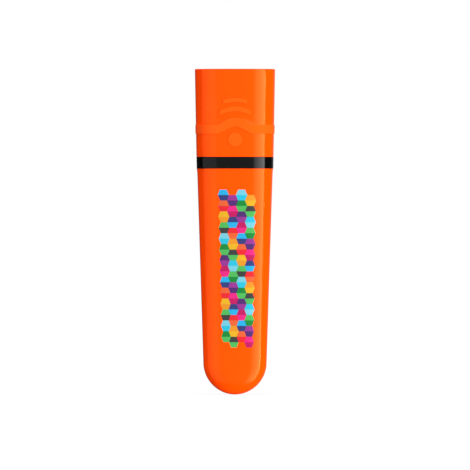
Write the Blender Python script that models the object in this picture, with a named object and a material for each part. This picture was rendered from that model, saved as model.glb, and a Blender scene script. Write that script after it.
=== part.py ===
"""A capped flat highlighter, built from its separate pieces and standing upright with the cap on.

The pen runs along +Z from the rounded tail at the origin to the flat top of the cap. X crosses its
width and Y its depth, and its main face looks along -Y. The cap pulls straight off along +Z.
"""

import math

import bmesh
import bpy

MM = 0.001

# Heights above the tail
CAP_TOP = 122.0 * MM
NIB_TIP = 116.65 * MM
NOZZLE_TOP = 109.85 * MM
CONE_TOP = 103.2 * MM
COLLAR_TOP = 89.05 * MM
COLLAR_BOTTOM = 84.7 * MM
PLUG_BOTTOM = 77.0 * MM
CAVITY_TOP = 95.0 * MM

# Full widths (X) and depths (Y) of the tapered ovals, at the two ends of each taper
TAIL_WIDTH, TAIL_DEPTH = 22.97 * MM, 10.47 * MM
MOUTH_WIDTH, MOUTH_DEPTH = 28.36 * MM, 15.17 * MM
COLLAR_LOW_WIDTH, COLLAR_LOW_DEPTH = 28.74 * MM, 15.50 * MM
COLLAR_HIGH_WIDTH, COLLAR_HIGH_DEPTH = 28.90 * MM, 15.85 * MM
CAP_MOUTH_WIDTH, CAP_MOUTH_DEPTH = 28.92 * MM, 15.90 * MM
CAP_TOP_WIDTH, CAP_TOP_DEPTH = 30.10 * MM, 16.80 * MM

# Shape of the ovals: 2 is an ellipse, and more is squarer
OVAL_POWER = 2.8
TAIL_POWER = 2.2
ROUND = 2.0

# Rounding of the tail: how far up it reaches, seen on the broad face and seen edge on
TAIL_RISE_WIDE, TAIL_RISE_DEEP = 11.5 * MM, 6.2 * MM

# Walls, gaps and edges
WALL = 1.2 * MM
CAP_WALL = 1.35 * MM
CAP_ROOF = 1.8 * MM
SEAT_GAP = 0.25 * MM
PUSH_GAP = 0.15 * MM
EDGE = 0.15 * MM
SHOULDER_RISE, SHOULDER_STAND = 2.5 * MM, 0.16 * MM

# Black section: the flared cone and the round nozzle that holds the nib
CONE_BASE_STEP = 1.45 * MM
CONE_TOP_RADIUS = 4.42 * MM
CONE_CURVE = 2.2
NOZZLE_RADIUS = 4.25 * MM
VENT_WIDTH, VENT_COUNT = 0.7 * MM, 4

# Nib
NIB_RADIUS = 2.5 * MM
NIB_TAIL = 83.0 * MM
NIB_SHOULDER = 111.15 * MM
NIB_TIP_RADIUS = 0.8 * MM
NIB_BORE_RADIUS = NIB_RADIUS + PUSH_GAP

# Ink reservoir
RESERVOIR_BOTTOM, RESERVOIR_TOP = 12.3 * MM, 89.0 * MM
CORE_HALF_WIDTH, CORE_HALF_DEPTH, CORE_POWER = 8.4 * MM, 3.5 * MM, 3.0
FILM, FILM_GAP, FILM_OVERHANG = 0.2 * MM, 0.1 * MM, 0.3 * MM
SOCKET_RADIUS, SOCKET_FLOOR = NIB_RADIUS + PUSH_GAP, NIB_TAIL - SEAT_GAP
BREATHER_X, BREATHER_RADIUS, BREATHER_BORE = 6.4 * MM, 0.8 * MM, 0.5 * MM
BREATHER_BOTTOM, BREATHER_TOP = 11.0 * MM, 90.2 * MM

# Ribs inside the barrel that centre the reservoir
RIB_THICKNESS = 1.0 * MM
GUIDE_X = 5.0 * MM
GUIDE_BOTTOM, GUIDE_TOP = 14.0 * MM, 75.5 * MM
GUIDE_CLEARANCE = 0.2 * MM
POST_HALF_WIDTH, POST_HALF_DEPTH = 3.5 * MM, 1.9 * MM
POST_BOTTOM, POST_TOP = 0.7 * MM, 12.0 * MM

# Raised marks on the cap's two broad faces
RELIEF = 0.2 * MM
RELIEF_ROOT = 0.4 * MM
BAND_BOTTOM, BAND_TOP = 97.8 * MM, 101.0 * MM
BAND_RAMP = 0.1 * MM
# How the band's two edges hump over the dot: rise, half width of the flat crest, and half width overall
UPPER_HUMP = (2.6 * MM, 1.0 * MM, 7.3 * MM)
LOWER_HUMP = (2.75 * MM, 0.0 * MM, 7.2 * MM)
DOT_HEIGHT, DOT_RADIUS = 95.5 * MM, 2.65 * MM
# Each arc: height of its middle, half its length, its thickness, and how far its ends drop
THUMB_ARCS = (
    (107.0 * MM, 5.9 * MM, 1.8 * MM, 1.55 * MM),
    (110.34 * MM, 4.55 * MM, 1.48 * MM, 0.72 * MM),
)

# Sealing cup inside the cap
CUP_RADIUS = NOZZLE_RADIUS + PUSH_GAP
CUP_WALL = 1.1 * MM
CUP_MOUTH, CUP_ROOF = 104.2 * MM, 117.7 * MM
FLANGE_BOTTOM, FLANGE_TOP = 118.8 * MM, 119.9 * MM
WEB_BOTTOM, WEB_HALF_LENGTH = 108.0 * MM, 12.4 * MM

# Facets round each outline
AROUND = 72
AROUND_SMALL = 24
AROUND_STRAW = 12
AROUND_VENT = 8

# How far a cutter runs past the piece that it cuts
CUTTER_REACH = 1.0 * MM

ORANGE = (1.0, 0.117, 0.0, 1.0)
RED_ORANGE = (1.0, 0.03, 0.0, 1.0)
BLACK = (0.014, 0.014, 0.014, 1.0)
NATURAL = (0.86, 0.85, 0.80, 1.0)
CLEAR_FILM = (0.75, 0.80, 0.82, 1.0)


# ---- Outlines ----------------------------------------------------------------------------------


def between(low, high, share):
    """The value a share of the way from low to high."""
    return low + (high - low) * share


def smooth(share):
    """A share from 0 to 1, eased at both ends."""
    share = min(max(share, 0.0), 1.0)
    return share * share * (3.0 - 2.0 * share)


def oval_point(half_width, half_depth, power, turn):
    """The point of a rounded oval at a turn from 0 to 1 round it, starting at +X."""
    angle = 2.0 * math.pi * turn
    cosine, sine = math.cos(angle), math.sin(angle)
    x = math.copysign(half_width * abs(cosine) ** (2.0 / power), cosine)
    y = math.copysign(half_depth * abs(sine) ** (2.0 / power), sine)
    return x, y


def oval_depth_at(half_width, half_depth, power, x):
    """How far from the middle plane the oval's broad side lies at x."""
    return half_depth * (1.0 - abs(x / half_width) ** power) ** (1.0 / power)


def oval_row(z, half_width, half_depth, power=OVAL_POWER, points=AROUND):
    """A level ring of points round an oval."""
    return [(*oval_point(half_width, half_depth, power, i / points), z) for i in range(points)]


def round_row(z, radius, points=AROUND, x=0.0, y=0.0):
    """A level circle of points, about the axis or about an upright line at x, y."""
    return [(x + px, y + py, z) for px, py, _ in oval_row(z, radius, radius, ROUND, points)]


def pole(z, x=0.0, y=0.0):
    """A row of a single point, where a skin closes."""
    return [(x, y, z)]


def barrel_sizes(z):
    """Half width and half depth of the barrel's straight taper at height z."""
    share = z / COLLAR_BOTTOM
    return between(TAIL_WIDTH, MOUTH_WIDTH, share) / 2, between(TAIL_DEPTH, MOUTH_DEPTH, share) / 2


def tail_share(z, rise):
    """How much of its full size the rounded tail has reached at height z."""
    return math.sqrt(1.0 - (1.0 - min(max(z / rise, 0.0), 1.0)) ** 2)


def barrel_row(z, inset=0.0):
    """A ring of the barrel at height z, moved inwards by inset."""
    half_width, half_depth = barrel_sizes(z)
    return oval_row(
        z,
        (half_width - inset) * tail_share(z - inset, TAIL_RISE_WIDE - inset),
        (half_depth - inset) * tail_share(z - inset, TAIL_RISE_DEEP - inset),
        between(TAIL_POWER, OVAL_POWER, smooth(z / TAIL_RISE_WIDE)),
    )


def collar_row(z, inset=0.0):
    share = (z - COLLAR_BOTTOM) / (COLLAR_TOP - COLLAR_BOTTOM)
    half_width = between(COLLAR_LOW_WIDTH, COLLAR_HIGH_WIDTH, share) / 2
    half_depth = between(COLLAR_LOW_DEPTH, COLLAR_HIGH_DEPTH, share) / 2
    return oval_row(z, half_width - inset, half_depth - inset)


def cone_row(z, inset=0.0):
    """A ring of the section's flare, which runs from the collar's oval to the round nozzle."""
    share = (z - COLLAR_TOP) / (CONE_TOP - COLLAR_TOP)
    spread = (1.0 - share) ** CONE_CURVE
    base_half_width = COLLAR_HIGH_WIDTH / 2 - CONE_BASE_STEP
    base_half_depth = COLLAR_HIGH_DEPTH / 2 - CONE_BASE_STEP
    half_width = between(CONE_TOP_RADIUS, base_half_width, spread)
    half_depth = between(CONE_TOP_RADIUS, base_half_depth, spread)
    return oval_row(z, half_width - inset, half_depth - inset, between(OVAL_POWER, ROUND, smooth(share)))


def cap_sizes(z, inset=0.0):
    """Half width and half depth of the cap at height z, moved inwards by inset."""
    share = (z - COLLAR_TOP) / (CAP_TOP - COLLAR_TOP)
    half_width = between(CAP_MOUTH_WIDTH, CAP_TOP_WIDTH, share) / 2
    half_depth = between(CAP_MOUTH_DEPTH, CAP_TOP_DEPTH, share) / 2
    return half_width - inset, half_depth - inset


def cap_row(z, inset=0.0):
    return oval_row(z, *cap_sizes(z, inset))


def lift(x, rise, flat, end):
    """How far an edge of the cap's raised band is lifted at x: a hump over the dot, level elsewhere."""
    return rise * (1.0 - smooth((abs(x) - flat) / (end - flat)))


def band_row(z, hump, stand=0.0):
    """A ring of the cap that rises over the hump, standing proud of the cap by stand."""
    row = []
    for i in range(AROUND):
        x, _ = oval_point(*cap_sizes(z, -stand), OVAL_POWER, i / AROUND)
        lifted = z + lift(x, *hump)
        row.append((*oval_point(*cap_sizes(lifted, -stand), OVAL_POWER, i / AROUND), lifted))
    return row


def cap_face_point(x, z, stand):
    """A point on the cap's main face, standing proud of it by stand."""
    half_width, half_depth = cap_sizes(z)
    return x, -oval_depth_at(half_width, half_depth, OVAL_POWER, x) - stand, z


# ---- Meshes ------------------------------------------------------------------------------------


def add_object(name, bm, origin_z=0.0):
    """Turns a bmesh in pen coordinates into an object whose origin is on the axis at origin_z."""
    bmesh.ops.recalc_face_normals(bm, faces=bm.faces)
    bmesh.ops.translate(bm, verts=bm.verts, vec=(0.0, 0.0, -origin_z))
    mesh = bpy.data.meshes.new(name)
    bm.to_mesh(mesh)
    bm.free()
    mesh.shade_smooth()
    mesh.set_sharp_from_angle(angle=math.radians(35.0))
    piece = bpy.data.objects.new(name, mesh)
    piece.location.z = origin_z
    bpy.context.scene.collection.objects.link(piece)
    return piece


def loft(name, rows, closed=False, origin_z=0.0):
    """A skin over rows of points. Closed joins the last row to the first, as round a tube's wall."""
    bm = bmesh.new()
    rings = [[bm.verts.new(point) for point in row] for row in rows]
    pairs = list(zip(rings, rings[1:]))
    if closed:
        pairs.append((rings[-1], rings[0]))
    for low, high in pairs:
        count = max(len(low), len(high))
        for i in range(count):
            j = (i + 1) % count
            corners = (low[i % len(low)], low[j % len(low)], high[j % len(high)], high[i % len(high)])
            bm.faces.new(list(dict.fromkeys(corners)))
    return add_object(name, bm, origin_z)


def tube(name, bottom, top, outer, inner, power, points):
    """A straight open tube between two ovals, each given as half width and half depth."""
    rows = [
        oval_row(bottom, *outer, power, points),
        oval_row(top, *outer, power, points),
        oval_row(top, *inner, power, points),
        oval_row(bottom, *inner, power, points),
    ]
    return loft(name, rows, closed=True, origin_z=bottom)


def plate(name, low_end, high_end):
    """A straight bar between two level rectangles, each (z, low x, high x, low y, high y)."""
    rows = [
        [(x0, y0, z), (x1, y0, z), (x1, y1, z), (x0, y1, z)]
        for z, x0, x1, y0, y1 in (low_end, high_end)
    ]
    bm = bmesh.new()
    low, high = [[bm.verts.new(point) for point in row] for row in rows]
    bm.faces.new(low)
    bm.faces.new(high)
    for i in range(4):
        j = (i + 1) % 4
        bm.faces.new((low[i], low[j], high[j], high[i]))
    return add_object(name, bm)


def rod(name, bottom, top, radius, x, y, points):
    """A solid upright cylinder about a line at x, y."""
    rows = [
        pole(bottom, x, y),
        round_row(bottom, radius, points, x, y),
        round_row(top, radius, points, x, y),
        pole(top, x, y),
    ]
    return loft(name, rows)


def boolean(piece, tool, operation):
    """Joins a helper shape to a piece, or cuts it away, and keeps the helper out of the model."""
    tool.hide_render = True
    tool.display_type = "WIRE"
    modifier = piece.modifiers.new(tool.name, "BOOLEAN")
    modifier.operation = operation
    modifier.solver = "EXACT"
    modifier.object = tool


def material(name, colour, roughness, alpha=1.0):
    made = bpy.data.materials.new(name)
    made.use_nodes = True
    shader = made.node_tree.nodes["Principled BSDF"]
    shader.inputs["Base Color"].default_value = colour
    shader.inputs["Roughness"].default_value = roughness
    shader.inputs["Metallic"].default_value = 0.0
    shader.inputs["Alpha"].default_value = alpha
    return made


# ---- Barrel ------------------------------------------------------------------------------------


def make_barrel():
    """The one-piece body shell: open at the mouth, closed at the rounded tail."""
    mouth = COLLAR_BOTTOM - SEAT_GAP
    tail_steps, body_steps, shoulder_steps = 10, 6, 3
    rows = [pole(0.0)]
    for i in range(1, tail_steps + 1):
        angle = math.pi / 2 * i / tail_steps
        rows.append(barrel_row(TAIL_RISE_WIDE * (1.0 - math.cos(angle))))
    shoulder = mouth - SHOULDER_RISE
    for i in range(1, body_steps + 1):
        rows.append(barrel_row(between(TAIL_RISE_WIDE, shoulder, i / body_steps)))
    for i in range(1, shoulder_steps + 1):
        share = i / shoulder_steps
        rows.append(barrel_row(between(shoulder, mouth, share), -SHOULDER_STAND * share**2))
    rows.append(barrel_row(mouth, WALL))
    rows.append(barrel_row(TAIL_RISE_WIDE, WALL))
    inner_steps = 6
    for i in range(inner_steps - 1, 0, -1):
        angle = math.pi / 2 * i / inner_steps
        rows.append(barrel_row(WALL + (TAIL_RISE_WIDE - WALL) * (1.0 - math.cos(angle)), WALL))
    rows.append(pole(WALL))
    barrel = loft("barrel", rows)
    add_tail_post(barrel)
    for side in (-1, 1):
        for end in (-1, 1):
            add_guide_rib(barrel, side, end)
    return barrel


def add_tail_post(barrel):
    """Two crossed ribs standing on the tail's floor, on which the reservoir rests."""
    half = RIB_THICKNESS / 2
    for name, half_x, half_y in (
        ("post_wide", POST_HALF_WIDTH, half),
        ("post_deep", half, POST_HALF_DEPTH),
    ):
        base = (POST_BOTTOM, -half_x, half_x, -half_y, half_y)
        head = (POST_TOP, -half_x, half_x, -half_y, half_y)
        boolean(barrel, plate(name, base, head), "UNION")


def add_guide_rib(barrel, side, end):
    """A rib down the inside of a broad face. Its back is sunk in the wall, and its edge is upright."""
    edge = CORE_HALF_DEPTH + FILM_GAP + FILM + GUIDE_CLEARANCE
    low_x = side * GUIDE_X - RIB_THICKNESS / 2
    high_x = side * GUIDE_X + RIB_THICKNESS / 2
    ends = []
    for z in (GUIDE_BOTTOM, GUIDE_TOP):
        half_width, half_depth = barrel_sizes(z)
        wall = oval_depth_at(half_width - WALL, half_depth - WALL, OVAL_POWER, GUIDE_X)
        back = wall + WALL / 2
        ends.append((z, low_x, high_x, *sorted((end * edge, end * back))))
    boolean(barrel, plate(f"guide_{side}_{end}", *ends), "UNION")


# ---- Section, nib and reservoir ----------------------------------------------------------------


def make_section():
    """The black front: a plug in the barrel, the collar, the flared cone and the nib's nozzle."""
    plug_outside = WALL + PUSH_GAP
    plug_inside = plug_outside + WALL
    cone_steps, cavity_steps = 9, 3
    rows = [
        barrel_row(PLUG_BOTTOM, plug_inside),
        barrel_row(PLUG_BOTTOM, plug_outside + EDGE),
        barrel_row(PLUG_BOTTOM + 2 * EDGE, plug_outside),
        barrel_row(COLLAR_BOTTOM, plug_outside),
        collar_row(COLLAR_BOTTOM, EDGE),
        collar_row(COLLAR_BOTTOM + EDGE),
        collar_row(COLLAR_TOP - EDGE),
        collar_row(COLLAR_TOP, EDGE),
    ]
    for i in range(cone_steps + 1):
        rows.append(cone_row(between(COLLAR_TOP, CONE_TOP, i / cone_steps)))
    rows += [
        round_row(CONE_TOP, NOZZLE_RADIUS),
        round_row(NOZZLE_TOP - EDGE, NOZZLE_RADIUS),
        round_row(NOZZLE_TOP, NOZZLE_RADIUS - EDGE),
        round_row(NOZZLE_TOP, NIB_BORE_RADIUS + EDGE),
        round_row(NOZZLE_TOP - EDGE, NIB_BORE_RADIUS),
        round_row(CAVITY_TOP, NIB_BORE_RADIUS),
    ]
    for i in range(cavity_steps + 1):
        rows.append(cone_row(between(CAVITY_TOP, COLLAR_TOP, i / cavity_steps), WALL))
    rows.append(barrel_row(COLLAR_BOTTOM, plug_inside))
    section = loft("section", rows, closed=True)
    for i in range(VENT_COUNT):
        cut_vent(section, i)
    return section


def cut_vent(section, index):
    """A groove down the nib's bore that lets air past the nib."""
    angle = 2.0 * math.pi * (index + 0.5) / VENT_COUNT
    x, y = NIB_BORE_RADIUS * math.cos(angle), NIB_BORE_RADIUS * math.sin(angle)
    ends = (CAVITY_TOP - CUTTER_REACH, NOZZLE_TOP + CUTTER_REACH)
    groove = rod(f"vent_{index}", *ends, VENT_WIDTH / 2, x, y, AROUND_VENT)
    boolean(section, groove, "DIFFERENCE")


def make_nib():
    """A round fibre rod, ground to a blunt cone."""
    tip_middle = NIB_TIP - NIB_TIP_RADIUS
    chamfer = 0.25 * MM
    # The cone leaves the rounded tip where its slope matches the tip's
    slope = math.atan2(NIB_RADIUS - NIB_TIP_RADIUS, tip_middle - NIB_SHOULDER)
    tip_steps = 5
    rows = [
        pole(NIB_TAIL),
        round_row(NIB_TAIL, NIB_RADIUS - chamfer, AROUND_SMALL),
        round_row(NIB_TAIL + chamfer, NIB_RADIUS, AROUND_SMALL),
        round_row(NIB_SHOULDER - 2 * chamfer, NIB_RADIUS, AROUND_SMALL),
        round_row(NIB_SHOULDER + chamfer, NIB_RADIUS - chamfer * math.tan(slope), AROUND_SMALL),
    ]
    for i in range(tip_steps):
        angle = between(slope, math.pi / 2, i / tip_steps)
        z = tip_middle + NIB_TIP_RADIUS * math.sin(angle)
        rows.append(round_row(z, NIB_TIP_RADIUS * math.cos(angle), AROUND_SMALL))
    rows.append(pole(NIB_TIP))
    return loft("nib", rows, origin_z=NIB_TAIL)


def make_reservoir_core():
    """The oval bundle of fibre that holds the ink, with a socket for the nib's tail."""
    size = (CORE_HALF_WIDTH, CORE_HALF_DEPTH, CORE_POWER, AROUND_SMALL)
    rows = [
        pole(RESERVOIR_BOTTOM),
        oval_row(RESERVOIR_BOTTOM, *size),
        oval_row(RESERVOIR_TOP, *size),
        round_row(RESERVOIR_TOP, SOCKET_RADIUS, AROUND_SMALL),
        round_row(SOCKET_FLOOR, SOCKET_RADIUS, AROUND_SMALL),
        pole(SOCKET_FLOOR),
    ]
    core = loft("reservoir_core", rows, origin_z=RESERVOIR_BOTTOM)
    ends = (RESERVOIR_BOTTOM - CUTTER_REACH, RESERVOIR_TOP + CUTTER_REACH)
    hole_radius = BREATHER_RADIUS + PUSH_GAP
    hole = rod("breather_hole", *ends, hole_radius, BREATHER_X, 0.0, AROUND_STRAW)
    boolean(core, hole, "DIFFERENCE")
    return core


def make_reservoir_film():
    """The plastic film wrapped round the fibre, open at both ends."""
    inner = (CORE_HALF_WIDTH + FILM_GAP, CORE_HALF_DEPTH + FILM_GAP)
    outer = (inner[0] + FILM, inner[1] + FILM)
    low, high = RESERVOIR_BOTTOM - FILM_OVERHANG, RESERVOIR_TOP + FILM_OVERHANG
    return tube("reservoir_film", low, high, outer, inner, CORE_POWER, AROUND_SMALL)


def make_breather_tube():
    """The thin straw through the fibre that joins the air in the tail to the vents at the nib."""
    outer, inner = (BREATHER_RADIUS,) * 2, (BREATHER_BORE,) * 2
    straw = tube("breather_tube", BREATHER_BOTTOM, BREATHER_TOP, outer, inner, ROUND, AROUND_STRAW)
    straw.location.x = BREATHER_X
    return straw


# ---- Cap ---------------------------------------------------------------------------------------


def make_cap_shell():
    """The cap's outer shell, with a raised band, two thumb arcs and a dot on each broad face."""
    mouth = COLLAR_TOP + SEAT_GAP
    ceiling = CAP_TOP - CAP_ROOF
    rows = [
        pole(CAP_TOP),
        cap_row(CAP_TOP, 2 * EDGE),
        cap_row(CAP_TOP - EDGE / 2, EDGE / 2),
        cap_row(CAP_TOP - 2 * EDGE),
        cap_row(between(BAND_TOP + UPPER_HUMP[0], CAP_TOP, 0.5)),
        band_row(BAND_TOP + BAND_RAMP, UPPER_HUMP),
        band_row(BAND_TOP, UPPER_HUMP, RELIEF),
        band_row(BAND_BOTTOM, LOWER_HUMP, RELIEF),
        band_row(BAND_BOTTOM - BAND_RAMP, LOWER_HUMP),
        cap_row(between(mouth, BAND_BOTTOM, 0.5)),
        cap_row(mouth + EDGE),
        cap_row(mouth, EDGE),
        cap_row(mouth, CAP_WALL - EDGE),
        cap_row(mouth + EDGE, CAP_WALL),
        cap_row(ceiling, CAP_WALL),
        pole(ceiling),
    ]
    shell = loft("cap_shell", rows, origin_z=COLLAR_TOP)
    for side in (-1, 1):
        boolean(shell, make_dot(side), "UNION")
        for arc in THUMB_ARCS:
            boolean(shell, make_thumb_arc(side, *arc), "UNION")
    return shell


def raised_pad(name, side, outline):
    """A thin pad on a broad face. The outline is pairs of points (x, low z, high z) from end to end."""
    bm = bmesh.new()
    rings = []
    for x, low, high in outline:
        corners = ((low, RELIEF), (high, RELIEF), (high, -RELIEF_ROOT), (low, -RELIEF_ROOT))
        points = [cap_face_point(x, z, stand) for z, stand in corners]
        rings.append([bm.verts.new((side * px, -side * py, pz)) for px, py, pz in points])
    for first, second in zip(rings, rings[1:]):
        for i in range(4):
            j = (i + 1) % 4
            bm.faces.new((first[i], first[j], second[j], second[i]))
    bm.faces.new(rings[0])
    bm.faces.new(rings[-1])
    return add_object(name, bm)


def make_thumb_arc(side, height, half_length, thickness, drop):
    steps = 8
    outline = []
    for i in range(steps + 1):
        share = 2.0 * i / steps - 1.0
        middle = height - drop * share**2
        outline.append((half_length * share, middle - thickness / 2, middle + thickness / 2))
    return raised_pad(f"thumb_arc_{side}_{round(height / MM)}", side, outline)


def make_dot(side):
    steps = 10
    outline = []
    for i in range(steps):
        angle = math.pi * (i + 0.5) / steps
        half_height = DOT_RADIUS * math.sin(angle)
        outline.append((-DOT_RADIUS * math.cos(angle), DOT_HEIGHT - half_height, DOT_HEIGHT + half_height))
    return raised_pad(f"dot_{side}", side, outline)


def make_inner_cap():
    """The sealing cup inside the cap: it closes round the nozzle, under an oval flange."""
    outside = CUP_RADIUS + CUP_WALL
    flange_inset = CAP_WALL + PUSH_GAP
    rows = [
        pole(FLANGE_TOP),
        cap_row(FLANGE_TOP, flange_inset + EDGE),
        cap_row(FLANGE_TOP - EDGE, flange_inset),
        cap_row(FLANGE_BOTTOM, flange_inset),
        round_row(FLANGE_BOTTOM, outside),
        round_row(CUP_MOUTH + EDGE, outside),
        round_row(CUP_MOUTH, outside - EDGE),
        round_row(CUP_MOUTH, CUP_RADIUS + 2 * EDGE),
        round_row(CUP_MOUTH + 2 * EDGE, CUP_RADIUS),
        round_row(CUP_ROOF, CUP_RADIUS),
        pole(CUP_ROOF),
    ]
    cup = loft("inner_cap", rows, origin_z=COLLAR_TOP)
    sunk = (CUP_WALL / 2, WALL / 2)
    half = RIB_THICKNESS / 2
    for side in (-1, 1):
        low_x, high_x = sorted((side * (CUP_RADIUS + sunk[0]), side * WEB_HALF_LENGTH))
        ends = [(z, low_x, high_x, -half, half) for z in (WEB_BOTTOM, FLANGE_BOTTOM + sunk[1])]
        boolean(cup, plate(f"web_{side}", *ends), "UNION")
    return cup


# ---- Assembly ----------------------------------------------------------------------------------


def hang_on(parent, piece):
    """Parents a piece to an empty without moving it."""
    piece.parent = parent
    piece.location -= parent.location


def main():
    for leftover in list(bpy.data.objects):
        bpy.data.objects.remove(leftover)

    orange = material("orange_gloss", ORANGE, 0.22)
    black = material("black_gloss", BLACK, 0.25)
    fibre = material("inked_fibre", RED_ORANGE, 0.7)
    natural = material("natural_plastic", NATURAL, 0.45)
    film = material("clear_film", CLEAR_FILM, 0.2, alpha=0.4)

    pieces = {
        make_barrel(): orange,
        make_section(): black,
        make_nib(): fibre,
        make_reservoir_core(): fibre,
        make_reservoir_film(): film,
        make_breather_tube(): natural,
    }
    cap_pieces = {make_cap_shell(): orange, make_inner_cap(): natural}
    for piece, finish in (pieces | cap_pieces).items():
        piece.data.materials.append(finish)

    cap_slide = bpy.data.objects.new("cap_slide", None)
    cap_slide.location.z = COLLAR_TOP
    bpy.context.scene.collection.objects.link(cap_slide)
    for piece in cap_pieces:
        hang_on(cap_slide, piece)


main()
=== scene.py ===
import math

import bmesh
import bpy
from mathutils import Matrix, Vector


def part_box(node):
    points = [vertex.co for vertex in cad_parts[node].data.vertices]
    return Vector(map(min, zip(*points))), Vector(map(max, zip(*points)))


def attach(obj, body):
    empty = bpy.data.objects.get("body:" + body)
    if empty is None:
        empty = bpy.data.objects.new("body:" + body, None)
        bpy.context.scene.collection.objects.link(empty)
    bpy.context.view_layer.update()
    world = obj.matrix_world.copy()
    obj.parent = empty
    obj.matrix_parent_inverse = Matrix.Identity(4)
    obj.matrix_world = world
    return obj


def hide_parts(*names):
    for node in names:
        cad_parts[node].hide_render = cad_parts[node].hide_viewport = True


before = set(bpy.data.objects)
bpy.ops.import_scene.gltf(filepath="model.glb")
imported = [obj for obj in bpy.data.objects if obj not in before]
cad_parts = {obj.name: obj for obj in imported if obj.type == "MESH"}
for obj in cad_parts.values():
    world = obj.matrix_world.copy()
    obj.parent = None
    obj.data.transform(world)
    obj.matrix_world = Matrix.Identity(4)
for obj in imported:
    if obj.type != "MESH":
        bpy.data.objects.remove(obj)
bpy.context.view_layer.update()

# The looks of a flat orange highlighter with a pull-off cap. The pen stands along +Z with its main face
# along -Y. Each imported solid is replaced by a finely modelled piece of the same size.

MM = 0.001

# Heights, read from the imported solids
SEAT_GAP = 0.25 * MM
BARREL_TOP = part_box("barrel")[1].z
PLUG_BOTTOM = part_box("section")[0].z
NOZZLE_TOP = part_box("section")[1].z
NIB_TAIL, NIB_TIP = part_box("nib")[0].z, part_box("nib")[1].z
CAP_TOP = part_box("cap_shell")[1].z
COLLAR_BOTTOM = BARREL_TOP + SEAT_GAP
COLLAR_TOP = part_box("cap_shell")[0].z - SEAT_GAP
CUP_MOUTH, FLANGE_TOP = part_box("inner_cap")[0].z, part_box("inner_cap")[1].z
CONE_HEIGHT, BORE_LENGTH = 14.15 * MM, 14.85 * MM
CONE_TOP = COLLAR_TOP + CONE_HEIGHT
CAVITY_TOP = NOZZLE_TOP - BORE_LENGTH

# Full widths and depths of the tapered ovals
TAIL_WIDTH, TAIL_DEPTH = 22.97 * MM, 10.47 * MM
MOUTH_WIDTH, MOUTH_DEPTH = 28.36 * MM, 15.17 * MM
COLLAR_LOW_WIDTH, COLLAR_LOW_DEPTH = 28.74 * MM, 15.50 * MM
COLLAR_HIGH_WIDTH, COLLAR_HIGH_DEPTH = 28.90 * MM, 15.85 * MM
CAP_MOUTH_WIDTH, CAP_MOUTH_DEPTH = 28.92 * MM, 15.90 * MM
CAP_TOP_WIDTH, CAP_TOP_DEPTH = 30.10 * MM, 16.80 * MM
OVAL_POWER, TAIL_POWER, ROUND = 2.8, 2.2, 2.0
TAIL_RISE_WIDE, TAIL_RISE_DEEP = 11.5 * MM, 6.2 * MM
SHOULDER_RISE, SHOULDER_STAND = 2.5 * MM, 0.16 * MM

# Walls, gaps and edge rounding
WALL, CAP_WALL, CAP_ROOF = 1.2 * MM, 1.35 * MM, 1.8 * MM
HAIRLINE = 0.03 * MM
PUSH_GAP = 0.15 * MM
EDGE = 0.15 * MM
CAP_EDGE = 0.3 * MM

# Section and nib
CONE_BASE_STEP = 1.45 * MM
CONE_FILLET = 0.3 * MM
CONE_TOP_RADIUS, CONE_CURVE = 4.42 * MM, 2.2
NOZZLE_RADIUS = 4.25 * MM
NIB_RADIUS = 2.5 * MM
NIB_BORE_RADIUS = NIB_RADIUS + PUSH_GAP
NIB_SHOULDER = 111.15 * MM
NIB_SHOULDER_BLEND = 1.0 * MM
NIB_TIP_RADIUS = 0.8 * MM
NIB_TAIL_CHAMFER = 0.25 * MM
VENT_WIDTH, VENT_COUNT = 0.7 * MM, 4

# Reservoir
CORE_POWER = 3.0
FILM = 0.2 * MM
SOCKET_RADIUS, SOCKET_FLOOR = NIB_RADIUS + PUSH_GAP, NIB_TAIL - SEAT_GAP
BREATHER_RADIUS, BREATHER_BORE = 0.8 * MM, 0.5 * MM

# Ribs inside the barrel
RIB = 1.0 * MM
GUIDE_X, GUIDE_EDGE = 5.0 * MM, 4.0 * MM
GUIDE_BOTTOM, GUIDE_TOP = 14.0 * MM, 75.5 * MM
POST_HALF_WIDTH, POST_HALF_DEPTH = 3.5 * MM, 1.9 * MM
POST_BOTTOM, POST_TOP = 0.7 * MM, 12.0 * MM

# Raised marks on the cap
RELIEF, RELIEF_ROOT = 0.2 * MM, 0.4 * MM
RELIEF_CHAMFER = RELIEF / 2
BAND_BOTTOM, BAND_TOP = 97.8 * MM, 101.0 * MM
# How the band's two edges hump over the dot: rise, half width of the flat crest, half width overall
UPPER_HUMP = (2.6 * MM, 1.0 * MM, 7.3 * MM)
LOWER_HUMP = (2.75 * MM, 0.0 * MM, 7.2 * MM)
DOT_HEIGHT, DOT_RADIUS = 95.5 * MM, 2.65 * MM
# Each arc's height at its middle, half length, thickness, and drop at its ends
THUMB_ARCS = (
    (107.0 * MM, 5.9 * MM, 1.8 * MM, 1.55 * MM),
    (110.34 * MM, 4.55 * MM, 1.48 * MM, 0.72 * MM),
)

# Sealing cup
CUP_RADIUS = NOZZLE_RADIUS + PUSH_GAP
CUP_WALL, CUP_ROOF = 1.1 * MM, 117.7 * MM
FLANGE_BOTTOM = FLANGE_TOP - 1.1 * MM
WEB_BOTTOM, WEB_HALF_LENGTH = 108.0 * MM, 12.4 * MM

# Printed mosaic on the main face
PRINT_TOP, PRINT_COLUMNS, PRINT_ROWS = 76.8 * MM, 4, 14
HEX_HEIGHT = 4.08 * MM
PITCH_TOP, PITCH_BOTTOM = 3.43 * MM, 2.87 * MM
PRINT_X_TOP, PRINT_X_BOTTOM = 0.75 * MM, 1.0 * MM
HEX_REACH, HEX_FLAT = 0.627, 0.373
INK_PROUD, INK_SUNK = 0.015 * MM, 0.03 * MM
INK_CUTS = 3

# Points round an outline
AROUND, AROUND_SMALL, AROUND_STRAW, AROUND_HOLE, AROUND_VENT, AROUND_DOT = 256, 96, 48, 32, 24, 64
SHARP_ANGLE = math.radians(32.0)
QUARTER_TURN = math.pi / 2


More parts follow.
